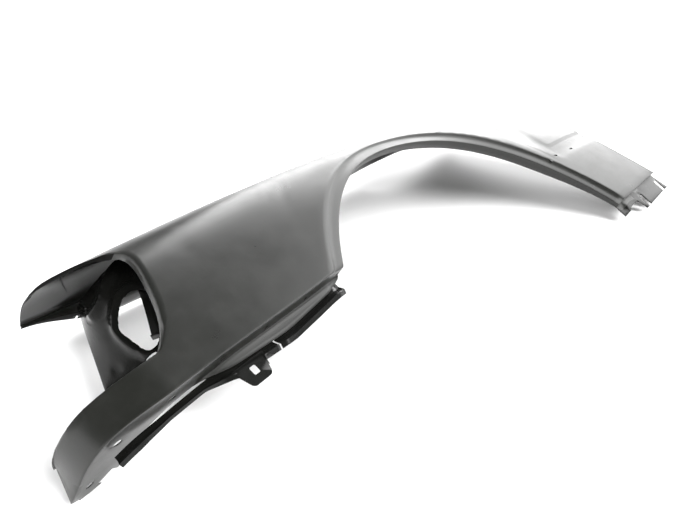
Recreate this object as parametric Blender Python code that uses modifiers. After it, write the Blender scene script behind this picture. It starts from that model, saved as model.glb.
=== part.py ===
# Left front fender of a car, lying on a floor with its outer face up.
# X runs rearward along the car, Y toward the hood side, Z up from the floor.
# The outer face is one pressed sheet, and the brackets are welded to it.

import bmesh
import bpy
from math import asin, cos, pi, radians, sin, sqrt
from mathutils import Vector

# Driving dimensions, in metres
sheet_thickness = 0.0010
bracket_thickness = 0.0012
seat_gap = 0.0003
weld_distance = 0.0001

# Wheel arch, whose centre is the origin of the plan
arch_radius = 0.3455
lip_width = 0.018
lip_drop = 0.006
lip_return = 0.016

# The section of the outer face at three stations: nose, axle and door
station_pitch = 0.500
crest_across = (0.389, 0.363, 0.310)
crest_height = (0.184, 0.180, 0.097)
crest_radius = (0.136, 0.068, 0.241)
lower_slope_share = (0.89, 0.74, 0.42)
upper_slope_share = (2.06, 1.17, 0.44)

# Edges of the outer face in plan
bumper_line = ((-0.560, 0.2446), (-0.240, 0.2495))
sill_line = ((0.337, 0.0752), (0.508, 0.0696))
door_line_along = 0.508
hood_arch_front_along = -0.270
hood_arch_rear_along = 0.345
hood_line = (
    (-0.468, 0.594), (-0.360, 0.574), (-0.250, 0.559), (-0.120, 0.551), (0, 0.547),
    (0.120, 0.542), (0.250, 0.530), (0.380, 0.509), (0.498, 0.486),
)

# The car's own up direction leans by this angle while the fender lies down
car_lean = radians(33)
car_up = Vector((0, cos(car_lean), sin(car_lean)))
inboard = Vector((0, sin(car_lean), -cos(car_lean)))

# Beak under the headlamp, which wraps round the front corner of the car
beak_root_along = -0.532
beak_wrap_along = -0.560
beak_top_across = 0.2805
beak_wrap_reach = 0.075
beak_wrap_depth = 0.090
beak_wrap_angle = radians(125)
beak_low_reach = 0.077
beak_bulge = 0.006

# Headlamp notch: points of its edge in plan, from the beak to the horn's tip
notch_edge = (
    (-0.532, 0.2805), (-0.517, 0.289), (-0.499, 0.307), (-0.483, 0.334),
    (-0.466, 0.366), (-0.4515, 0.396), (-0.4505, 0.419), (-0.464, 0.444),
    (-0.484, 0.470), (-0.4965, 0.500), (-0.4955, 0.532), (-0.484, 0.564),
)

# Turned edges
ledge_bend = 0.004
ledge_splay = 0.003
notch_return = 0.012
door_return = 0.013
sill_step = 0.008
strap_depth = (
    (0.337, 0.022), (0.357, 0.022), (0.362, 0.017), (0.396, 0.017),
    (0.401, 0.038), (0.508, 0.035),
)
strap_overhang = 0.011
gutter_depth = 0.018
hood_flange_width = 0.026
horn_taper_share = 0.12
horn_taper_length = 0.130

# Inner edge of the ledge: place along and depth inboard, from the front corner
ledge_edge = (
    (-0.6215, 0.1500), (-0.5980, 0.1500), (-0.5720, 0.1300), (-0.5740, 0.0920),
    (-0.5600, 0.0560), (-0.5200, 0.0350), (-0.4500, 0.0280), (-0.3500, 0.0280),
    (-0.2653, 0.0240),
)
# The ledge's face falls away from that edge: place along and depth
ledge_fall = ((-0.505, 0), (-0.455, 0.011), (-0.360, 0.016), (-0.265, 0.010))

# Moulding recess on the part of the face beside the door
moulding_low_across = 0.187
moulding_high_across = 0.219
moulding_depth = 0.003
moulding_step = 0.003
moulding_start_radius = 0.388
moulding_run_in = 0.014
moulding_merge = 0.035

# Rows across the door part of the face, as shares between sill and hood line
door_row_shares = (
    0, 0.065, 0.135, 0.205, 0.2667, 0.2813, 0.3130, 0.3447, 0.3593,
    0.425, 0.495, 0.565, 0.640, 0.720, 0.805, 0.900, 1,
)
beak_rows = 2
bumper_columns = 13
arch_columns = 36
sill_marks = (0.3620, 0.3960, 0.4010, 0.4300, 0.4600, 0.4860)
beak_columns = 10

# Holes
ledge_hole_radius = 0.0028
ledge_holes = (
    (-0.246, 0.016), (-0.315, 0.019), (-0.392, 0.019), (-0.469, 0.020), (-0.546, 0.0245),
)
corner_holes = ((-0.604, 0.0560), (-0.617, 0.1260))
corner_hole_radius = 0.0050
corner_notch = (-0.5850, 0.1420)
corner_notch_size = 0.022
clip_slots = ((0.400, 0.1920), (0.334, 0.1950))
clip_slot_radius = 0.0016
clip_slot_reach = 0.0045
cutter_reach = 0.012
strap_slot_along = (0.417, 0.500)
strap_slot_radius = 0.005
strap_slot_share = 0.45
hood_hole_radius = 0.0045
hood_hole_along = (-0.395, -0.285, -0.160, 0.045, 0.190, 0.330, 0.440)

# Bumper rails: they hang behind the ledge's face, and under the ledge in front
rail_edge = (
    (-0.6180, 0.0800), (-0.6120, 0.0700), (-0.5920, 0.0530), (-0.5600, 0.0440), (-0.5200, 0.0370),
    (-0.4800, 0.0310), (-0.4500, 0.0280), (-0.3500, 0.0280), (-0.2653, 0.0252), (-0.2430, 0.0260),
)
rail_fall = ((-0.580, 0.005), (-0.505, 0.007), (-0.455, 0.011), (-0.360, 0.016), (-0.265, 0.010))
rail_leg = (
    (-0.612, 0.011), (-0.590, 0.011), (-0.550, 0.007), (-0.500, 0.006), (-0.460, 0.014),
    (-0.400, 0.014), (-0.243, 0.014),
)
rail_top = 0.0025
rail_stand_off = 0.0017
rail_fold = 0.0015
rail_leg_splay = 0.003
rail_split_along = -0.386
rail_split_gap = 0.001
tab_along = (-0.458, -0.417)
tab_drop = 0.018
tab_edge = 0.006
tab_hole_size = 0.011

# Headlamp panel: its top and bottom edges in space, from the inner side to the notch
panel_top = (
    (-0.399, 0.567, 0.040), (-0.430, 0.515, 0.085), (-0.425, 0.460, 0.142), (-0.375, 0.405, 0.160),
)
panel_low = ((-0.535, 0.372, 0.058), (-0.515, 0.332, 0.097), (-0.490, 0.296, 0.130))
panel_columns = 44
panel_rows = 34
# Its relief as shares across and down the panel
eye_shares = (
    (0.722, 0.33), (0.654, 0.366), (0.600, 0.43), (0.530, 0.56), (0.532, 0.64), (0.585, 0.77),
    (0.665, 0.915), (0.720, 0.935), (0.800, 0.89), (0.850, 0.75), (0.845, 0.49), (0.795, 0.36),
)
rim_shares = (
    (0.735, 0.270), (0.640, 0.310), (0.560, 0.385), (0.480, 0.550), (0.490, 0.660),
    (0.545, 0.810), (0.650, 0.970), (0.730, 0.985),
)
ridge_shares = ((0.720, 0.020), (0.610, 0.120), (0.510, 0.220), (0.430, 0.250), (0.330, 0.250))
rib_shares = (
    ((0.060, 0.250), (0.400, 0.400)),
    ((0.060, 0.330), (0.390, 0.470)),
    ((0.060, 0.410), (0.380, 0.540)),
)
# The flange that seats the panel under the face, as a line in plan
panel_seat = ((-0.370, 0.402), (-0.430, 0.352), (-0.482, 0.298))
panel_seat_drop = 0.0020
panel_seat_width = 0.012
stamp_shares = (0.262, 0.890)
bolt_shares = (0.276, 0.160)
panel_width = 0.180
panel_height = 0.195
rim_height = 0.006
rim_spread = 0.011
ridge_height = 0.010
ridge_spread = 0.014
rib_height = 0.0025
rib_spread = 0.005
stamp_radius = 0.006
stamp_depth = 0.0015
stamp_spread = 0.003
bolt_radius = 0.0045

# Lamp strip behind the panel, in the same shares, with its half width
strip_line_shares = ((0.795, 0.060), (0.805, 0.420), (0.800, 0.760))
strip_half_width = 0.008
strip_stand_off = 0.016
strip_rows = 12
strip_seat_share = 0.15
strip_seat_gap = 0.0011
strip_foot = 0.014
strip_foot_rows = 3

# Materials: colour, roughness and metallic value
skin_look = ((0.030, 0.031, 0.028, 1), 0.30, 0.0)
rail_look = ((0.012, 0.012, 0.011, 1), 0.22, 0.0)
panel_look = ((0.020, 0.021, 0.019, 1), 0.25, 0.0)


def lerp(start, end, share):
    return start + (end - start) * share


def ease(share):
    share = min(max(share, 0), 1)
    return share * share * (3 - 2 * share)


def at_station(values, along):
    nose, axle, door = values
    share = along / station_pitch
    return axle + (door - nose) / 2 * share + ((door + nose) / 2 - axle) * share ** 2


def hood_across(along):
    # The hood line passes smoothly through its points
    at = 0
    while at < len(hood_line) - 2 and hood_line[at + 1][0] < along:
        at += 1
    ends = [hood_line[min(max(at + k, 0), len(hood_line) - 1)] for k in (-1, 0, 1, 2)]
    (before, low), (start, a), (end, b), (after, high) = ends
    share = (along - start) / (end - start)
    leave = (b - low) / (end - before)
    arrive = (high - a) / (after - start)
    rise = share * share * (3 - 2 * share)
    reach = end - start
    return (lerp(a, b, rise) + leave * reach * share * (1 - share) ** 2
            - arrive * reach * share ** 2 * (1 - share))


def mark_value(marks, along):
    if along <= marks[0][0]:
        return marks[0][1]
    for (a, low), (b, high) in zip(marks, marks[1:]):
        if along <= b:
            return lerp(low, high, (along - a) / (b - a))
    return marks[-1][1]


def line_across(line, along):
    (start, low), (end, high) = line
    return lerp(low, high, (along - start) / (end - start))


def spline(points, count):
    # A smooth curve through the points, in equal steps of the point number
    out = []
    last = len(points) - 1
    for step in range(count + 1):
        place = min(step / count * last, last - 1e-9)
        at = int(place)
        share = place - at
        ends = [points[min(max(at + k, 0), last)] for k in (-1, 0, 1, 2)]
        out.append(tuple(
            0.5 * (2 * b + (c - a) * share + (2 * a - 5 * b + 4 * c - d) * share ** 2
                   + (3 * b - a - 3 * c + d) * share ** 3)
            for a, b, c, d in zip(*ends)))
    return out


def even_spline(points, count):
    # The same curve with its steps equal in length
    fine = [Vector(p) for p in spline(points, count * 12)]
    length = [0]
    for a, b in zip(fine, fine[1:]):
        length.append(length[-1] + (b - a).length)
    out = []
    at = 0
    for step in range(count + 1):
        goal = length[-1] * step / count
        while at < len(fine) - 2 and length[at + 1] < goal:
            at += 1
        out.append(fine[at].lerp(fine[at + 1], (goal - length[at]) / (length[at + 1] - length[at])))
    return out


def moulding_fall(along, across):
    low = ease((across - moulding_low_across) / moulding_step + 0.5)
    high = ease((moulding_high_across - across) / moulding_step + 0.5)
    radius = sqrt(along ** 2 + across ** 2)
    start = ease((radius - moulding_start_radius) / moulding_run_in) if along > 0 else 0
    return moulding_depth * low * high * start


def skin_point(along, across):
    # The outer face: a crest with a rounded top that straightens to both sides
    offset = across - at_station(crest_across, along)
    slope = at_station(lower_slope_share if offset < 0 else upper_slope_share, along)
    reach = slope * at_station(crest_radius, along)
    fall = slope * reach * (sqrt(1 + (offset / reach) ** 2) - 1)
    height = at_station(crest_height, along) - fall - moulding_fall(along, across)
    return Vector((along, across, height))


def beak_point(share, across, row_share):
    # Round the front corner the face leaves its tangent along a quarter ellipse
    angle = beak_wrap_angle * share
    root = skin_point(beak_wrap_along, across)
    behind = skin_point(beak_wrap_along + weld_distance, across)
    tangent = (root - behind) / weld_distance
    high_reach = beak_wrap_reach * sin(angle)
    low_reach = beak_low_reach * sin(min(angle, pi / 2))
    forward = lerp(low_reach, high_reach, row_share)
    depth = beak_wrap_depth * (1 - cos(angle))
    bulge = beak_bulge * sin(pi * share) ** 2
    return root + tangent * forward + inboard * depth + car_up * bulge


def lower_chain(radius):
    # The lower edge in plan: bumper line, arch and sill line
    front_across = bumper_line[1][1]
    rear_across = sill_line[0][1]
    front = pi - asin(front_across / radius)
    rear = asin(rear_across / radius)
    before = []
    for step in range(bumper_columns):
        along = lerp(beak_root_along, radius * cos(front), step / bumper_columns)
        before.append((along, line_across(bumper_line, along)))
    before[-1] = (before[-1][0], front_across)
    arch = []
    for step in range(arch_columns + 1):
        angle = lerp(front, rear, step / arch_columns)
        arch.append((radius * cos(angle), radius * sin(angle)))
    after = [(along, line_across(sill_line, along)) for along in sill_marks + (door_line_along,)]
    return before, arch, after


def upper_chain():
    # The hood line in plan, in the same columns
    front = hood_line[0][0]
    blocks = (
        (front, hood_arch_front_along, bumper_columns),
        (hood_arch_front_along, hood_arch_rear_along, arch_columns),
        (hood_arch_rear_along, hood_line[-1][0], len(sill_marks) + 1),
    )
    places = [front]
    for start, end, count in blocks:
        places += [lerp(start, end, step / count) for step in range(1, count + 1)]
    return [(along, hood_across(along)) for along in places]


def notch_column():
    # The front column of the body: up the beak's root and along the notch
    tip = hood_line[0]
    rows = len(door_row_shares) - 1
    start = line_across(bumper_line, beak_root_along)
    column = [Vector((beak_root_along, lerp(start, beak_top_across, k / beak_rows)))
              for k in range(beak_rows)]
    return column + even_spline(notch_edge + (tip,), rows - beak_rows)


def body_patch():
    before, arch, after = lower_chain(arch_radius + lip_width)
    lower = before + arch + after
    upper = upper_chain()
    front = notch_column()
    last = len(lower) - 1
    start = Vector(lower[0])
    end = Vector(upper[0])
    front_shares = [(p.y - start.y) / (end.y - start.y) for p in front]
    patch = []
    for i, (low, high) in enumerate(zip(lower, upper)):
        low = Vector(low)
        high = Vector(high)
        fade = (1 - i / last) ** 4
        # Beside the door the rows follow the moulding
        follow = ease((moulding_low_across - low.y) / moulding_merge) if low.x > 0 else 0
        column = []
        for j, share in enumerate(door_row_shares):
            general = lerp(front_shares[j], share, ease(i / last))
            goal = lerp(sill_line[1][1], hood_line[-1][1], share)
            if j >= 4:
                aligned = (goal - low.y) / (high.y - low.y)
            else:
                aligned = (moulding_low_across - low.y) / (high.y - low.y) * j / 4
            place = low.lerp(high, lerp(general, aligned, follow))
            place += (front[j] - start.lerp(end, front_shares[j])) * fade
            column.append(skin_point(place.x, place.y))
        patch.append(column)
    return patch


def beak_patch():
    # From the root of the beak to its end at the floor
    patch = []
    steps = [(lerp(beak_root_along, beak_wrap_along, k / 2), None) for k in range(2)]
    steps += [(beak_wrap_along, k / beak_columns) for k in range(beak_columns + 1)]
    for along, share in steps:
        low = line_across(bumper_line, along)
        column = []
        for row in range(beak_rows + 1):
            row_share = row / beak_rows
            across = lerp(low, beak_top_across, row_share)
            point = skin_point(along, across) if share is None else beak_point(share, across, row_share)
            column.append(point)
        patch.append(column)
    return patch


def lip_patch():
    # The flat band round the arch, sunk below the face
    crease = lower_chain(arch_radius + lip_width)[1]
    edge = lower_chain(arch_radius)[1]
    patch = []
    for outer, inner in zip(crease, edge):
        outer = skin_point(*outer)
        inner = skin_point(*inner)
        brink = inner + inboard * lip_drop
        step = outer.lerp(inner, 0.18) + inboard * lip_drop * 0.6
        shoulder = outer.lerp(inner, 0.92) + inboard * lip_drop * 0.9
        patch.append([outer, step, shoulder, brink])
    return patch


def ledge_base():
    return skin_point(beak_wrap_along, bumper_line[0][1])


def ledge_place(along, depth):
    # A point of the ledge's plane from its place along and its depth inboard
    base = ledge_base()
    low = skin_point(along, line_across(bumper_line, along)) if along > beak_wrap_along else base
    return Vector((along, low.y, low.z)) + inboard * depth


def ledge_patch(beak, body, lip):
    # The ledge turned inboard under the bumper line, and its falling face
    lows = [column[0] for column in reversed(beak[1:])]
    lows += [column[0] for column in body[:bumper_columns + 1]]
    patch = []
    for low, (along, depth) in zip(lows, even_spline(ledge_edge, len(lows) - 1)):
        inner = ledge_place(along, depth)
        fall = mark_value(ledge_fall, along)
        bend = min(ledge_bend, fall / 2)
        edge = inner + inboard * ledge_splay - car_up * fall
        side = (low - inner).normalized()
        patch.append([
            low, low.lerp(inner, 0.33), low.lerp(inner, 0.66), inner + side * bend / 2,
            inner.lerp(edge, 0.3), edge,
        ])
    last = patch[-1]
    for low, share in zip(lip[0][1:], (0.8, 0.4, 0)):
        flat = [low + (point - last[0]) for point in last]
        end = [low + inboard * lip_return * k for k in (0, 0.5, 1, 1, 1, 1)]
        patch.append([a.lerp(b, 1 - share) for a, b in zip(flat, end)])
    patch[-1][1] = lip[0][-1] + inboard * lip_return / 2
    return patch


def arch_return_patch(lip):
    patch = []
    last = len(lip) - 1
    for i, column in enumerate(lip):
        depth = lerp(lip_return, sill_step, ease((i / last - 0.8) / 0.2))
        patch.append([column[-1], column[-1] + inboard * depth / 2, column[-1] + inboard * depth])
    return patch


def sill_patch(lip, body):
    # The step under the sill line, which the strap hangs from
    edge = list(reversed(lip[-1])) + [column[0] for column in body[-len(sill_marks) - 1:]]
    return [[low, low + inboard * sill_step / 2, low + inboard * sill_step] for low in edge]


def strap_patch(sill):
    patch = []
    last = len(sill) - 1
    for i, column in enumerate(sill):
        top = column[-1]
        depth = mark_value(strap_depth, top.x)
        shift = Vector((strap_overhang * ease((i / last - 0.8) / 0.2), 0, 0))
        patch.append([top, top - car_up * depth * 0.5 + shift * 0.5, top - car_up * depth + shift])
    return patch


def notch_return_patch(beak, body):
    edge = [column[-1] for column in reversed(beak)]
    edge += body[0][beak_rows + 1:]
    last = len(edge) - 1
    patch = []
    for i, brink in enumerate(edge):
        depth = notch_return * ease((last - i) / last * 6) * lerp(0.5, 1, ease(i / beak_columns / 2))
        patch.append([brink, brink + inboard * max(depth, weld_distance * 2)])
    return patch


def hood_patch(body):
    # The gutter beside the hood and the flange that bolts to the wing support
    patch = []
    tip = body[0][-1].x
    for column in body:
        top = column[-1]
        taper = lerp(horn_taper_share, 1, ease((top.x - tip) / horn_taper_length))
        floor = top - car_up * gutter_depth * taper
        flange = floor + inboard * hood_flange_width * taper
        patch.append([top, floor, floor.lerp(flange, 0.5), flange])
    return patch


def door_patch(body, sill):
    edge = body[-1]
    patch = []
    for brink in edge:
        patch.append([brink, brink + inboard * sill_step / 2, brink + inboard * sill_step])
    return patch


def sheet_object(name, patches, thickness, look, outward):
    # One sheet from patches of points that meet edge to edge
    shape = bmesh.new()
    for patch in patches:
        grid = [[shape.verts.new(point) for point in column] for column in patch]
        for left, right in zip(grid, grid[1:]):
            for row in range(len(left) - 1):
                shape.faces.new((left[row], right[row], right[row + 1], left[row + 1]))
    bmesh.ops.remove_doubles(shape, verts=shape.verts, dist=weld_distance)
    bmesh.ops.recalc_face_normals(shape, faces=shape.faces)
    facing = sum(face.normal.dot(outward) * face.calc_area() for face in shape.faces)
    if facing < 0:
        bmesh.ops.reverse_faces(shape, faces=shape.faces)
    mesh = bpy.data.meshes.new(name)
    shape.to_mesh(mesh)
    shape.free()
    item = bpy.data.objects.new(name, mesh)
    parts.objects.link(item)
    solid = item.modifiers.new("sheet", "SOLIDIFY")
    solid.thickness = thickness
    solid.offset = -1
    solid.use_quality_normals = True
    mesh.shade_smooth()
    mesh.set_sharp_from_angle(angle=radians(35))
    paint(item, look)
    item.parent = frame
    return item


def paint(item, look):
    colour, roughness, metallic = look
    material = bpy.data.materials.new(item.name)
    material.use_nodes = True
    shader = material.node_tree.nodes["Principled BSDF"]
    shader.inputs["Base Color"].default_value = colour
    shader.inputs["Roughness"].default_value = roughness
    shader.inputs["Metallic"].default_value = metallic
    material.diffuse_color = colour
    item.data.materials.append(material)


def drill(shape, place, direction, radius, stretch, segments):
    # One cutter of round or slotted form; stretch is the slot's half length vector
    side = direction.orthogonal().normalized() if stretch is None else stretch.normalized()
    other = direction.cross(side).normalized()
    loops = []
    for end in (-cutter_reach / 2, cutter_reach / 2):
        loop = []
        for k in range(segments):
            angle = 2 * pi * (k + 0.5) / segments
            point = place + direction * end + (side * cos(angle) + other * sin(angle)) * radius
            if stretch is not None:
                point += stretch if cos(angle) > 0 else -stretch
            loop.append(shape.verts.new(point))
        loops.append(loop)
    shape.faces.new(loops[0])
    shape.faces.new(reversed(loops[1]))
    for k in range(segments):
        after = (k + 1) % segments
        shape.faces.new((loops[0][k], loops[1][k], loops[1][after], loops[0][after]))


def cutter_object(name, shape, target):
    bmesh.ops.recalc_face_normals(shape, faces=shape.faces)
    mesh = bpy.data.meshes.new(name)
    shape.to_mesh(mesh)
    shape.free()
    item = bpy.data.objects.new(name, mesh)
    cutters.objects.link(item)
    item.hide_render = True
    item.display_type = "WIRE"
    item.parent = frame
    cut = target.modifiers.new(name, "BOOLEAN")
    cut.operation = "DIFFERENCE"
    cut.object = item


def outer_skin():
    beak = beak_patch()
    body = body_patch()
    lip = lip_patch()
    sill = sill_patch(lip, body)
    patches = [
        body, beak, lip, ledge_patch(beak, body, lip), arch_return_patch(lip), sill,
        strap_patch(sill), notch_return_patch(beak, body), hood_patch(body), door_patch(body, sill),
    ]
    skin = sheet_object("outer_skin", patches, sheet_thickness, skin_look, Vector((0, 0, 1)))
    holes = bmesh.new()
    for along, depth in ledge_holes:
        slot = Vector((ledge_hole_radius, 0, 0)) if along < -0.5 else None
        drill(holes, ledge_place(along, depth), car_up, ledge_hole_radius, slot, 16)
    for along, depth in corner_holes:
        drill(holes, ledge_place(along, depth), car_up, corner_hole_radius, None, 16)
    drill(holes, ledge_place(*corner_notch), car_up, corner_notch_size / sqrt(2), None, 4)
    for along, across in clip_slots:
        reach = Vector((clip_slot_reach, 0, 0))
        drill(holes, skin_point(along, across), Vector((0, 0, 1)), clip_slot_radius, reach, 12)
    for along in strap_slot_along:
        depth = mark_value(strap_depth, along)
        top = skin_point(along, line_across(sill_line, along)) + inboard * sill_step
        drill(holes, top - car_up * depth * (strap_slot_share + 0.5), inboard, strap_slot_radius,
              car_up * depth * 0.5, 16)
    for along in hood_hole_along:
        top = skin_point(along, hood_across(along))
        place = top - car_up * gutter_depth + inboard * hood_flange_width * 0.55
        drill(holes, place, car_up, hood_hole_radius, None, 16)
    cutter_object("skin_holes", holes, skin)


def rail_leg_at(along):
    low, high = tab_along
    inside = ease((along - low) / tab_edge + 0.5) * ease((high - along) / tab_edge + 0.5)
    return mark_value(rail_leg, along) + tab_drop * inside


def rail_object(name, start, end, count):
    # Each section stands off behind the ledge's face by its own clearance
    fine = even_spline(rail_edge, 240)
    span = [k for k in range(1, 240) if start <= fine[k].x <= end]
    patch = []
    for step in range(count + 1):
        at = span[round(step * (len(span) - 1) / count)]
        tangent = (fine[at + 1] - fine[at - 1]).normalized()
        place = ledge_place(*fine[at])
        side = Vector((-tangent.y, 0, 0)) + inboard * tangent.x
        fall = mark_value(rail_fall, fine[at].x)
        behind = side * (ledge_splay + rail_stand_off)
        leg = rail_leg_at(fine[at].x)
        patch.append([
            place + behind - car_up * rail_top,
            place + behind - car_up * (fall + rail_fold),
            place + behind - side * rail_fold - car_up * (fall + rail_fold * 2.5),
            place + behind - side * (rail_fold + rail_leg_splay) - car_up * (fall + leg * 0.6),
            place + behind - side * rail_fold - car_up * (fall + leg),
        ])
    return sheet_object(name, [patch], bracket_thickness, rail_look, -inboard)


def bumper_rails():
    half_gap = rail_split_gap / 2
    rail_object("bumper_rail_rear", rail_split_along + half_gap, rail_edge[-1][0], 10)
    front = rail_object("bumper_rail_front", rail_edge[1][0], rail_split_along - half_gap, 44)
    hole = bmesh.new()
    middle = sum(tab_along) / 2
    place = ledge_place(middle, mark_value(rail_edge, middle) + ledge_splay)
    fall = mark_value(rail_fall, middle) + mark_value(rail_leg, middle) + tab_drop * 0.25
    drill(hole, place - car_up * fall, inboard, tab_hole_size / sqrt(2), None, 4)
    cutter_object("tab_hole", hole, front)


def bead(place, line, height, spread):
    # Height of a rounded bead that follows a line of shares
    spot = Vector((place[0] * panel_width, place[1] * panel_height))
    nearest = 10 * spread
    for start, end in zip(line, line[1:]):
        a = Vector((start[0] * panel_width, start[1] * panel_height))
        b = Vector((end[0] * panel_width, end[1] * panel_height))
        share = min(max((spot - a).dot(b - a) / (b - a).length_squared, 0), 1)
        nearest = min(nearest, (spot - a.lerp(b, share)).length)
    return height * ease(1 - nearest / spread)


def panel_relief(place):
    height = max(
        bead(place, rim_shares, rim_height, rim_spread),
        bead(place, ridge_shares, ridge_height, ridge_spread),
        max(bead(place, line, rib_height, rib_spread) for line in rib_shares),
    )
    spot = Vector(((place[0] - stamp_shares[0]) * panel_width,
                   (place[1] - stamp_shares[1]) * panel_height))
    ring = ease(1 - abs(spot.length - stamp_radius) / stamp_spread)
    return height - stamp_depth * ring


def panel_spot(across, down, lift):
    # A point of the plain panel at two shares, lifted toward the lamp
    top = even_spline(panel_top, panel_columns)
    low = even_spline(panel_low, panel_columns)
    at = min(int(across * panel_columns), panel_columns - 1)
    share = across * panel_columns - at
    a = top[at].lerp(top[at + 1], share)
    b = low[at].lerp(low[at + 1], share)
    toward = (top[at + 1] - top[at]).cross(b - a).normalized()
    if toward.x > 0:
        toward = -toward
    return a.lerp(b, down) + toward * lift, toward


def panel_flange():
    # Columns that rise behind the notch and turn under the face
    seat = even_spline(panel_seat, panel_rows)
    wall = []
    lap = []
    for spot in seat:
        along, across = spot
        here = skin_point(along, across)
        run = skin_point(along + weld_distance, across) - here
        rise = skin_point(along, across + weld_distance) - here
        normal = run.cross(rise).normalized()
        point = here - normal * panel_seat_drop
        away = (seat[-1] - seat[0]).normalized()
        away = Vector((-away.y, away.x))
        there = skin_point(along + away.x * panel_seat_width, across + away.y * panel_seat_width)
        wall.append(point)
        lap.append(there - normal * panel_seat_drop)
    return wall, lap


def headlamp_panel():
    patch = []
    for i in range(panel_columns + 1):
        column = []
        for k in range(panel_rows + 1):
            place = (i / panel_columns, k / panel_rows)
            column.append(panel_spot(*place, panel_relief(place))[0])
        patch.append(column)
    wall, lap = panel_flange()
    patch.append([a.lerp(b, 0.5) for a, b in zip(patch[-1], wall)])
    patch += [wall, lap]
    panel = sheet_object("headlamp_panel", [patch], bracket_thickness, panel_look, Vector((-1, 0, 0)))
    holes = bmesh.new()
    loops = []
    outline = even_spline(eye_shares + eye_shares[:1], 40)[:-1]
    for lift in (cutter_reach * 2, -cutter_reach * 2):
        loops.append([holes.verts.new(panel_spot(*share, lift)[0]) for share in outline])
    holes.faces.new(loops[0])
    holes.faces.new(reversed(loops[1]))
    for k in range(len(outline)):
        after = (k + 1) % len(outline)
        holes.faces.new((loops[0][k], loops[1][k], loops[1][after], loops[0][after]))
    place, toward = panel_spot(*bolt_shares, 0)
    drill(holes, place, toward, bolt_radius, None, 16)
    cutter_object("panel_holes", holes, panel)


def lamp_strip():
    # A narrow brace behind the lamp opening, with a foot turned toward the lamp
    path = even_spline(strip_line_shares, strip_rows)
    centres = []
    for k, share in enumerate(path):
        lift = lerp(bracket_thickness + strip_seat_gap, strip_stand_off,
                    ease((k / strip_rows - strip_seat_share) / strip_seat_share / 2))
        centres.append(panel_spot(*share, -lift))
    down = (centres[-1][0] - centres[-2][0]).normalized()
    last, toward = centres[-1]
    for k in range(1, strip_foot_rows + 1):
        centres.append((last + (toward * 0.8 + down * 0.3) * strip_foot * k / strip_foot_rows, toward))
    patch = []
    for side in (-1, -0.5, 0, 0.5, 1):
        column = []
        for k, (place, toward) in enumerate(centres):
            along = (centres[min(k + 1, len(centres) - 1)][0] - centres[max(k - 1, 0)][0]).normalized()
            column.append(place + along.cross(toward).normalized() * strip_half_width * side)
        patch.append(column)
    sheet_object("lamp_strip", [patch], bracket_thickness, panel_look, Vector((-1, 0, 0)))


def seat_on_floor():
    # The origin is the middle of the footprint, at floor level
    graph = bpy.context.evaluated_depsgraph_get()
    low = [1e9] * 3
    high = [-1e9] * 3
    for item in parts.objects:
        solid = item.evaluated_get(graph)
        for vertex in solid.data.vertices:
            place = solid.matrix_world @ vertex.co
            low = [min(a, b) for a, b in zip(low, place)]
            high = [max(a, b) for a, b in zip(high, place)]
    frame.location = (-(low[0] + high[0]) / 2, -(low[1] + high[1]) / 2, -low[2])


for old in list(bpy.data.objects):
    bpy.data.objects.remove(old, do_unlink=True)
parts = bpy.data.collections.new("car_fender")
cutters = bpy.data.collections.new("cutters")
bpy.context.scene.collection.children.link(parts)
bpy.context.scene.collection.children.link(cutters)
frame = bpy.data.objects.new("fender_frame", None)
parts_frame = bpy.context.scene.collection
parts_frame.objects.link(frame)

outer_skin()
bumper_rails()
headlamp_panel()
lamp_strip()
bpy.context.view_layer.update()
seat_on_floor()
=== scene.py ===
# Left front fender in black primer, lying on a white studio floor.
# The shapes come from the imported model. This script rounds their folds, rebuilds the
# tab of the front rail, sets a dark plate of painted shade under the slots of the moulding
# and paints every sheet, with painted shade inside the horn and on the rear strap.

from math import radians

import bmesh
import bpy
from mathutils import Matrix, Vector


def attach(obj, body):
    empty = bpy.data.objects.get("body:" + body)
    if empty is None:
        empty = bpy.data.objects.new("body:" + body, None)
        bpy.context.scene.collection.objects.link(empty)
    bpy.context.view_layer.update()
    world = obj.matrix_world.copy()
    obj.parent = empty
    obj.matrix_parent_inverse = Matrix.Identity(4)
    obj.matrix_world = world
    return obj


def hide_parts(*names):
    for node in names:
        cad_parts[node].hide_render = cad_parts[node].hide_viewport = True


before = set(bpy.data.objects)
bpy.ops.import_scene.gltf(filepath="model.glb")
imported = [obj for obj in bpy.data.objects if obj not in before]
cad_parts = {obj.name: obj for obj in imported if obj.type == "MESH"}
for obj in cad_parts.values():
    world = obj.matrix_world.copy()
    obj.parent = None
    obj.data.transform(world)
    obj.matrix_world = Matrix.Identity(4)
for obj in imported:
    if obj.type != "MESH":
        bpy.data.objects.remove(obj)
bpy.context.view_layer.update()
print("frame loaded")


def clearSelection():
    if bpy.context.object and bpy.context.object.mode != "OBJECT":
        bpy.ops.object.mode_set(mode="OBJECT")
    bpy.ops.object.select_all(action="DESELECT")


def makeActive(piece):
    clearSelection()
    piece.select_set(True)
    bpy.context.view_layer.objects.active = piece


def applyAll(piece):
    makeActive(piece)
    for step in list(piece.modifiers):
        bpy.ops.object.modifier_apply(modifier=step.name)


everywhere = ((-1, -1, -1), (1, 1, 1))     # corners of a box round the whole fender


def isBetween(place, low, high):
    return all(low[k] <= place[k] <= high[k] for k in range(3))


def middleOf(edge):
    return (edge.verts[0].co + edge.verts[1].co) / 2


def selectEdges(piece, wanted):
    # picks edges by a test on the edge, ready for an edit-mode tool
    makeActive(piece)
    bpy.ops.object.mode_set(mode="EDIT")
    bpy.ops.mesh.select_mode(type="EDGE")
    bpy.ops.mesh.select_all(action="DESELECT")
    shape = bmesh.from_edit_mesh(piece.data)
    count = 0
    for edge in shape.edges:
        if len(edge.link_faces) == 2 and wanted(edge):
            edge.select = True
            count += 1
    bmesh.update_edit_mesh(piece.data)
    return count


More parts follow.
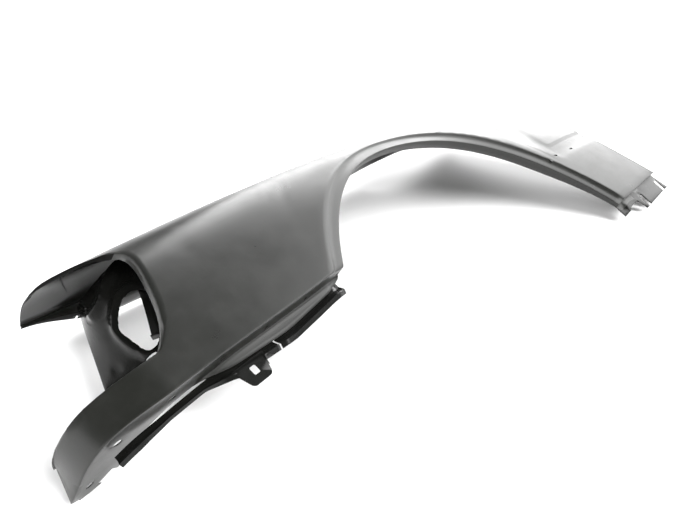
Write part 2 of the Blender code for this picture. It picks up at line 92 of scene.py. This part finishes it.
def selectPoints(piece, wanted):
    # picks points by a test on their place, ready for an edit-mode tool
    makeActive(piece)
    bpy.ops.object.mode_set(mode="EDIT")
    bpy.ops.mesh.select_mode(type="VERT")
    bpy.ops.mesh.select_all(action="DESELECT")
    bpy.ops.object.mode_set(mode="OBJECT")
    for point in piece.data.vertices:
        point.select = wanted(point.co)
    bpy.ops.object.mode_set(mode="EDIT")


primer = {
    "dark": (0.0048, 0.0052, 0.0042, 1),
    "pale": (0.0085, 0.0090, 0.0074, 1),
    "patchScale": 5.5,               # broad patches of dark and pale, per metre
    "patchDetail": 4,
    "patchRange": (0.32, 0.70),
    "dust": (0.055, 0.055, 0.050, 1),
    "dustScale": 16,
    "dustDetail": 9,
    "dustGrain": 0.72,
    "dustRange": (0.50, 0.74),
    "dustShare": 0.10,
    "roughLow": 0.26,
    "roughHigh": 0.40,
    "roughRange": (0.30, 0.72),
    "markTurn": (0.3, 0.2, 0.5),     # handling marks, long thin streaks in the gloss
    "markScale": (26, 900, 26),
    "markDetail": 3,
    "markRange": (0.62, 0.80),
    "markRough": 0.10,
    "waveScale": 9,                  # slow waves of a pressed sheet
    "waveDetail": 1,
    "waveHeight": 0.00018,
    "waveStrength": 0.5,
    "peelScale": 620,                # orange peel, about 1.6 mm
    "peelDetail": 2,
    "peelHeight": 0.00006,
    "peelStrength": 0.6,
    "specular": 0.5,
    "coat": 0.0,
    "coatRough": 0.12,
}


def addNode(tree, kind, place, **values):
    node = tree.nodes.new(kind)
    node.location = place
    for name, value in values.items():
        setattr(node, name, value)
    return node


def addNoise(tree, place, vector, scale, detail):
    noise = addNode(tree, "ShaderNodeTexNoise", place)
    noise.inputs["Scale"].default_value = scale
    noise.inputs["Detail"].default_value = detail
    tree.links.new(vector, noise.inputs["Vector"])
    return noise


def addRange(tree, place, value, source, low, high, **values):
    # stretches a part of a value's range to run from low to high
    spread = addNode(tree, "ShaderNodeMapRange", place, **values)
    spread.inputs["From Min"].default_value = source[0]
    spread.inputs["From Max"].default_value = source[1]
    spread.inputs["To Min"].default_value = low
    spread.inputs["To Max"].default_value = high
    tree.links.new(value, spread.inputs["Value"])
    return spread.outputs["Result"]


def addBump(tree, place, height, strength, distance):
    bump = addNode(tree, "ShaderNodeBump", place)
    bump.inputs["Strength"].default_value = strength
    bump.inputs["Distance"].default_value = distance
    tree.links.new(height, bump.inputs["Height"])
    return bump


def primerFinish(name, values):
    made = bpy.data.materials.new(name)
    made.use_nodes = True
    tree = made.node_tree
    link = tree.links.new
    shader = tree.nodes["Principled BSDF"]
    shader.inputs["Specular IOR Level"].default_value = values["specular"]
    shader.inputs["Coat Weight"].default_value = values["coat"]
    shader.inputs["Coat Roughness"].default_value = values["coatRough"]
    where = addNode(tree, "ShaderNodeTexCoord", (-1400, 0)).outputs["Object"]

    patches = addNoise(tree, (-1100, 300), where, values["patchScale"], values["patchDetail"])
    tone = addNode(tree, "ShaderNodeValToRGB", (-850, 300))
    for k, shade in enumerate(("dark", "pale")):
        tone.color_ramp.elements[k].position = values["patchRange"][k]
        tone.color_ramp.elements[k].color = values[shade]
    link(patches.outputs["Fac"], tone.inputs["Fac"])

    specks = addNoise(tree, (-1100, 0), where, values["dustScale"], values["dustDetail"])
    specks.inputs["Roughness"].default_value = values["dustGrain"]
    speckle = specks.outputs["Fac"]
    dust = addRange(tree, (-850, 0), speckle, values["dustRange"], 0, values["dustShare"])
    colour = addNode(tree, "ShaderNodeMix", (-550, 250), data_type="RGBA")
    colour.inputs[7].default_value = values["dust"]      # sockets 6 and 7 are the two colours
    link(dust, colour.inputs["Factor"])
    link(tone.outputs["Color"], colour.inputs[6])
    link(colour.outputs[2], shader.inputs["Base Color"])

    # handling marks make the gloss uneven
    stretch = addNode(tree, "ShaderNodeMapping", (-1250, -300))
    stretch.inputs["Rotation"].default_value = values["markTurn"]
    stretch.inputs["Scale"].default_value = values["markScale"]
    link(where, stretch.inputs["Vector"])
    marks = addNoise(tree, (-1050, -300), stretch.outputs["Vector"], 1, values["markDetail"])
    fine = addRange(
        tree, (-850, -300), marks.outputs["Fac"], values["markRange"], 0, values["markRough"])
    gloss = addRange(
        tree, (-850, -600), speckle, values["roughRange"], values["roughLow"], values["roughHigh"])
    rough = addNode(tree, "ShaderNodeMath", (-550, -400), operation="ADD")
    link(gloss, rough.inputs[0])
    link(fine, rough.inputs[1])
    link(rough.outputs["Value"], shader.inputs["Roughness"])

    peel = addNoise(tree, (-1100, -900), where, values["peelScale"], values["peelDetail"])
    slow = addNoise(tree, (-1100, -1200), where, values["waveScale"], values["waveDetail"])
    wave = addBump(
        tree, (-550, -900), slow.outputs["Fac"], values["waveStrength"], values["waveHeight"])
    skinBump = addBump(
        tree, (-300, -700), peel.outputs["Fac"], values["peelStrength"], values["peelHeight"])
    link(wave.outputs["Normal"], skinBump.inputs["Normal"])
    link(skinBump.outputs["Normal"], shader.inputs["Normal"])
    return made


skinPrimer = primerFinish("skinPrimer", primer)
# the brackets' finish, also used as painted shade on the rear strap and the plate under the
# moulding's slots
bracketPrimerAndShade = primerFinish("bracketPrimerAndShade", {
    **primer,
    "dark": (0.0035, 0.0036, 0.0033, 1),
    "pale": (0.0065, 0.0067, 0.0060, 1),
    "roughLow": 0.16,
    "roughHigh": 0.28,
    "specular": 0.22,
    "coat": 0.05,
    "dustShare": 0.06,
})
# the lamp panel's finish, also used as painted shade inside the horn
panelPrimerAndShade = primerFinish("panelPrimerAndShade", {
    **primer,
    "dark": (0.0035, 0.0036, 0.0033, 1),
    "pale": (0.0060, 0.0062, 0.0055, 1),
    "roughLow": 0.12,
    "roughHigh": 0.20,
    "specular": 0.04,
    "dustShare": 0.05,
})
print("finishes made")

sheet = {
    "merge": 0.00002,
    "flatAngle": radians(14),     # loose triangles join into four-sided faces below this
    "cornerAngle": radians(70),   # and while the new face's corners are this near to square
    "rimAngle": radians(62),      # cut edges of the sheet are turned more than this
    "foldAngle": radians(40),     # pressed folds are turned more than this
    "rimFace": 0.0016,            # faces narrower than this belong to a cut edge
    "softAngle": radians(20),     # gentle folds down to this stay a little tighter
    "softCrease": 0.28,
    "relaxShare": 0.5,
    "rimWidth": 0.00022,
    "smoothAngle": radians(40),
}


def mergePoints(piece, reach):
    # joins points that lie together, and stays in edit mode with all selected
    makeActive(piece)
    bpy.ops.object.mode_set(mode="EDIT")
    bpy.ops.mesh.select_all(action="SELECT")
    bpy.ops.mesh.remove_doubles(threshold=reach)


def joinSheet(node, name):
    # the node's loose triangles become one joined sheet of four-sided faces
    piece = bpy.data.objects.new(name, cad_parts[node].data.copy())
    bpy.context.scene.collection.objects.link(piece)
    mergePoints(piece, sheet["merge"])
    bpy.ops.mesh.tris_convert_to_quads(
        face_threshold=sheet["flatAngle"], shape_threshold=sheet["cornerAngle"])
    bpy.ops.object.mode_set(mode="OBJECT")
    return piece


def isTurned(edge, low):
    return edge.calc_face_angle(0) > low


def isBetweenWideFaces(edge):
    length = edge.calc_length()
    return all(face.calc_area() / length > sheet["rimFace"] for face in edge.link_faces)


def easeFolds(piece, width, steps, low, high):
    # rounds the pressed folds that lie between two corners
    def isFold(edge):
        isInside = isBetween(middleOf(edge), low, high)
        return isInside and isTurned(edge, sheet["foldAngle"]) and isBetweenWideFaces(edge)

    count = selectEdges(piece, isFold)
    bpy.ops.mesh.bevel(offset=width, segments=steps, clamp_overlap=True)
    bpy.ops.object.mode_set(mode="OBJECT")
    print(piece.name, "rounds", count, "fold edges")


def smoothPatch(piece, low, high, repeat):
    # relaxes the points between two corners
    selectPoints(piece, lambda place: isBetween(place, low, high))
    bpy.ops.mesh.vertices_smooth(factor=sheet["relaxShare"], repeat=repeat)
    bpy.ops.object.mode_set(mode="OBJECT")


def settlePoints(piece, centre, grip, reach, move):
    # moves the points within the grip of a corner, fading to nothing at the reach
    selectPoints(piece, lambda place: (place - Vector(centre)).length < grip)
    bpy.ops.transform.translate(
        value=move, use_proportional_edit=True, proportional_edit_falloff="SMOOTH",
        proportional_size=reach)
    bpy.ops.object.mode_set(mode="OBJECT")


def creaseEdges(piece, angle, value, low=everywhere[0], high=everywhere[1], crisp=False):
    # value 1 keeps an edge as sharp as it is, and a crisp one breaks the shading too
    selectEdges(
        piece, lambda edge: isTurned(edge, angle) and isBetween(middleOf(edge), low, high))
    bpy.ops.transform.edge_crease(value=value)
    if crisp:
        bpy.ops.mesh.mark_sharp()
    bpy.ops.object.mode_set(mode="OBJECT")


def finishSheet(piece, node, finish, levels):
    # cut edges stay crisp, the rest becomes a smooth pressed surface
    creaseEdges(piece, sheet["softAngle"], sheet["softCrease"])
    creaseEdges(piece, sheet["rimAngle"], 1)
    if levels:
        smooth = piece.modifiers.new("pressed", "SUBSURF")
        smooth.levels = smooth.render_levels = levels
    rim = piece.modifiers.new("rim", "BEVEL")
    rim.width = sheet["rimWidth"]
    rim.segments = 1
    rim.limit_method = "ANGLE"
    rim.angle_limit = sheet["rimAngle"]
    applyAll(piece)
    bpy.ops.object.shade_smooth_by_angle(angle=sheet["smoothAngle"])
    piece.data.materials.clear()
    piece.data.materials.append(finish)
    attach(piece, "root")
    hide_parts(node)
    print(piece.name, "has", len(piece.data.polygons), "faces")


skinShape = {
    "noseFolds": ((-1, -1, -1), (-0.20, -0.02, 1)),
    "foldWidth": 0.0016,
    "foldSteps": 2,
    "flareEnd": ((0.350, -0.108, 0.0), (0.410, 0.030, 0.2)),      # the flare fades out here
    "flareRelax": 14,
    "dents": (                                                    # small ones of the source mesh
        ((-0.424, -0.070, 0.125), (-0.398, -0.043, 0.155)),
        ((-0.356, 0.030, 0.180), (-0.332, 0.054, 0.200)),
    ),
    "dentRelax": 8,
    "moulding": ((0.395, -0.15, 0.0), (0.578, -0.09, 0.2)),
    "mouldingAngle": radians(12),
    "hornShadeBox": ((-0.58, 0.10, 0.0), (-0.30, 0.275, 0.2)),      # painted shade: its inside gets a darker, duller finish
    "hornShadeFacing": 0.02,         # normals of its faces stay below this in y and in z
    "strapShadeFrom": 0.395,         # painted shade: the strap below the rear leg gets the darker bracket finish
    "strapShadeBeyond": -0.2464,
}

skin = joinSheet("outer_skin", "fender_skin")
easeFolds(skin, skinShape["foldWidth"], skinShape["foldSteps"], *skinShape["noseFolds"])
smoothPatch(skin, *skinShape["flareEnd"], skinShape["flareRelax"])
for low, high in skinShape["dents"]:
    smoothPatch(skin, low, high, skinShape["dentRelax"])
creaseEdges(skin, skinShape["mouldingAngle"], 1, *skinShape["moulding"], crisp=True)
finishSheet(skin, "outer_skin", skinPrimer, levels=1)
skin.data.materials.append(bracketPrimerAndShade)
skin.data.materials.append(panelPrimerAndShade)
# painted shade: faces inside the horn and on the rear strap get darker finishes
for face in skin.data.polygons:
    looksIn = max(face.normal.y, face.normal.z) < skinShape["hornShadeFacing"]
    if looksIn and isBetween(face.center, *skinShape["hornShadeBox"]):
        face.material_index = 2          # painted shade, with the panel's darker finish
    if face.center.x > skinShape["strapShadeFrom"] and face.center.y < skinShape["strapShadeBeyond"]:
        face.material_index = 1          # painted shade, with the bracket's darker finish

panelShape = {
    "relax": 2,
    "ribs": ((-0.476, 0.02, 0.045), (-0.335, 0.2476, 0.135)),
    "ribRelax": 3,
    "corner": (-0.476, 0.053, 0.063),     # this lower corner is let down
    "grip": 0.012,
    "reach": 0.17,
    "settle": (0.0168, 0.0195, -0.0153),
}

lampPanel = joinSheet("headlamp_panel", "lamp_mount_panel")
smoothPatch(lampPanel, *everywhere, panelShape["relax"])
smoothPatch(lampPanel, *panelShape["ribs"], panelShape["ribRelax"])
settlePoints(
    lampPanel, panelShape["corner"], panelShape["grip"], panelShape["reach"],
    panelShape["settle"])
finishSheet(lampPanel, "headlamp_panel", panelPrimerAndShade, levels=1)

tab = {
    "oldMiddle": (-0.3790, -0.0905, 0.0780),   # block that takes the rough tab away
    "oldSize": (0.0450, 0.0400, 0.0400),
    "middle": (-0.3788, -0.08075, 0.08729),
    "size": (0.0530, 0.0280, 0.0014),
    "lean": radians(33.1),
    "outerShare": 0.60,                        # outer edge's width over the inner one
    "corner": 0.0050,
    "cornerSteps": 5,
    "holeMiddle": (-0.3785, -0.0795, 0.0881),
    "hole": 0.0105,
    "holeCorner": 0.0022,
    "sliver": 0.0003,                          # points this close are joined after the cuts
}


def addBlock(name, middle, size, turn):
    clearSelection()
    bpy.ops.mesh.primitive_cube_add(size=1, location=middle, rotation=turn, scale=size)
    block = bpy.context.object
    block.name = name
    return block


def combine(piece, tool, how):
    # joins or cuts with a closed tool, which is then gone
    step = piece.modifiers.new(how, "BOOLEAN")
    step.operation = how
    step.object = tool
    step.solver = "EXACT"
    applyAll(piece)
    bpy.data.objects.remove(tool)


def roundUprights(block, width, wanted):
    # rounds the edges that stand along the block's short side
    makeActive(block)
    bpy.ops.object.transform_apply(location=False, rotation=False, scale=True)
    depth = block.dimensions.z

    def isUpright(edge):
        stands = abs(edge.verts[1].co.z - edge.verts[0].co.z) > depth / 2
        return stands and wanted(middleOf(edge))

    selectEdges(block, isUpright)
    bpy.ops.mesh.bevel(offset=width, segments=tab["cornerSteps"], affect="EDGES")
    bpy.ops.object.mode_set(mode="OBJECT")


def squareTab(piece):
    # the tab becomes a flat rounded plate with one square hole
    turn = (tab["lean"], 0, 0)
    combine(piece, addBlock("oldTab", tab["oldMiddle"], tab["oldSize"], (0, 0, 0)), "DIFFERENCE")
    plate = addBlock("tabPlate", tab["middle"], tab["size"], turn)
    for point in plate.data.vertices:
        if point.co.y < 0:
            point.co.x *= tab["outerShare"]
    roundUprights(plate, tab["corner"], lambda middle: middle.y < 0)
    side = (tab["hole"], tab["hole"], tab["hole"])
    drill = addBlock("tabDrill", tab["holeMiddle"], side, turn)
    roundUprights(drill, tab["holeCorner"], lambda middle: True)
    combine(plate, drill, "DIFFERENCE")
    combine(piece, plate, "UNION")
    mergePoints(piece, tab["sliver"])
    bpy.ops.object.mode_set(mode="OBJECT")


frontRail = joinSheet("bumper_rail_front", "front_rail")
squareTab(frontRail)
finishSheet(frontRail, "bumper_rail_front", bracketPrimerAndShade, levels=0)

rearRail = joinSheet("bumper_rail_rear", "rear_rail")
finishSheet(rearRail, "bumper_rail_rear", bracketPrimerAndShade, levels=0)

# painted shade: a dark plate just under the skin, so that the moulding's slots look shaded
slotShadePlan = {
    "ends": ((0.3655, -0.1223, 0.1003), (0.4790, -0.1281, 0.0870)),   # on the skin over the slots
    "outward": (0.10, -0.38, 0.92),
    "width": 0.0150,
    "thick": 0.0020,
    "depth": 0.0021,
}

# the plate lies along the line between the ends, with its broad face outward
shadeStart, shadeEnd = (Vector(end) for end in slotShadePlan["ends"])
shadeAlong = (shadeEnd - shadeStart).normalized()
shadeUp = Vector(slotShadePlan["outward"])
shadeUp = (shadeUp - shadeUp.dot(shadeAlong) * shadeAlong).normalized()
shadeTurn = Matrix((shadeAlong, shadeUp.cross(shadeAlong), shadeUp)).transposed().to_euler()
slotShadePlate = addBlock(
    "moulding_shade_plate", (shadeStart + shadeEnd) / 2 - shadeUp * slotShadePlan["depth"],
    ((shadeEnd - shadeStart).length, slotShadePlan["width"], slotShadePlan["thick"]), shadeTurn)
bpy.ops.object.transform_apply(location=True, rotation=True, scale=True)
slotShadePlate.data.materials.append(bracketPrimerAndShade)
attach(slotShadePlate, "root")

lampBrace = joinSheet("lamp_strip", "lamp_brace")
finishSheet(lampBrace, "lamp_strip", bracketPrimerAndShade, levels=1)
print("sheets dressed")

studio = {
    "floorSize": 60,
    "floorTone": (0.92, 0.92, 0.92, 1),
    "floorRough": 0.9,
    "floorSpecular": 0.1,
    "seen": 1.0,                      # what the camera sees past the floor
    "paper": (0.886, 0.188, 0.420),   # direction of the bright paper behind the fender
    "paperRange": (0.74, 1.0),
    "roomGlow": 0.30,
    "paperGlow": 1.2,
    "roomPlace": (-0.35, -2.4, 2.1),  # the room's light comes from the near side
    "roomPower": 5.2,
    "roomSpread": radians(34),
    "lamps": (
        # name, place, point aimed at, size, watts, mirrored in gloss, lights matt surfaces
        ("wallMain", (1.90, 1.00, 1.10), (0.0, 0.0, 0.1), (2.0, 1.9), 64, True, True),
        ("wallSide", (2.20, -0.35, 0.95), (0.0, 0.0, 0.1), (1.8, 1.7), 32, True, False),
        ("sideStrip", (1.1, -1.3, 0.75), (0.0, 0.0, 0.1), (1.2, 0.6), 11, True, False),
        ("noseFill", (-2.2, 0.7, 1.9), (-0.35, 0.1, 0.0), (1.8, 1.4), 55, False, True),
        ("underFill", (-0.26, 0.20, 0.12), (-0.26, 0.20, 0.0), (0.16, 0.12), 0.4, False, True),
    ),
}

bpy.ops.mesh.primitive_plane_add(size=studio["floorSize"], location=(0, 0, 0))
floor = bpy.context.object
floor.name = "studio_floor"
floorFinish = bpy.data.materials.new("floorFinish")
floorFinish.use_nodes = True
floorShader = floorFinish.node_tree.nodes["Principled BSDF"]
floorShader.inputs["Base Color"].default_value = studio["floorTone"]
floorShader.inputs["Roughness"].default_value = studio["floorRough"]
floorShader.inputs["Specular IOR Level"].default_value = studio["floorSpecular"]
floor.data.materials.append(floorFinish)

# the world glows more towards the paper, and the camera itself sees plain white
world = bpy.data.worlds.new("studio")
bpy.context.scene.world = world
world.use_nodes = True
sky = world.node_tree
sky.nodes["Background"].inputs["Color"].default_value = (1, 1, 1, 1)
looking = addNode(sky, "ShaderNodeTexCoord", (-900, 0))
toPaper = addNode(sky, "ShaderNodeVectorMath", (-700, 0), operation="DOT_PRODUCT")
toPaper.inputs[1].default_value = Vector(studio["paper"]).normalized()
sky.links.new(looking.outputs["Generated"], toPaper.inputs[0])
glow = addRange(
    sky, (-500, 0), toPaper.outputs["Value"], studio["paperRange"], studio["roomGlow"],
    studio["paperGlow"], interpolation_type="SMOOTHERSTEP")
ray = addNode(sky, "ShaderNodeLightPath", (-500, 300))
seen = addNode(sky, "ShaderNodeMix", (-250, 0), data_type="FLOAT")
seen.inputs[3].default_value = studio["seen"]            # sockets 2 and 3 are the two values
sky.links.new(ray.outputs["Is Camera Ray"], seen.inputs["Factor"])
sky.links.new(glow, seen.inputs[2])
sky.links.new(seen.outputs[0], sky.nodes["Background"].inputs["Strength"])

for name, place, goal, size, watts, mirrored, spread in studio["lamps"]:
    data = bpy.data.lights.new(name, "AREA")
    data.shape = "RECTANGLE"
    data.size, data.size_y = size
    data.energy = watts
    lamp = bpy.data.objects.new(name, data)
    lamp.location = place
    lamp.rotation_euler = (Vector(goal) - Vector(place)).to_track_quat("-Z", "Y").to_euler()
    lamp.visible_camera = False
    lamp.visible_glossy = mirrored
    lamp.visible_diffuse = spread
    bpy.context.scene.collection.objects.link(lamp)

roomData = bpy.data.lights.new("roomLight", "SUN")
roomData.energy = studio["roomPower"]
roomData.angle = studio["roomSpread"]
roomLight = bpy.data.objects.new("roomLight", roomData)
roomLight.rotation_euler = (-Vector(studio["roomPlace"])).to_track_quat("-Z", "Y").to_euler()
roomLight.visible_glossy = False
bpy.context.scene.collection.objects.link(roomLight)

view = {
    "place": (-1.01359, -0.60526, 0.64452),
    "turn": (radians(62.52), 0, radians(-57.57)),
    "lens": 46.62,
    "sensor": 36,
}

cameraData = bpy.data.cameras.new("photoCamera")
cameraData.lens = view["lens"]
cameraData.sensor_width = view["sensor"]
camera = bpy.data.objects.new("photoCamera", cameraData)
camera.location = view["place"]
camera.rotation_euler = view["turn"]
bpy.context.scene.collection.objects.link(camera)
bpy.context.scene.camera = camera
bpy.context.scene.view_settings.view_transform = "Standard"
print("studio ready")
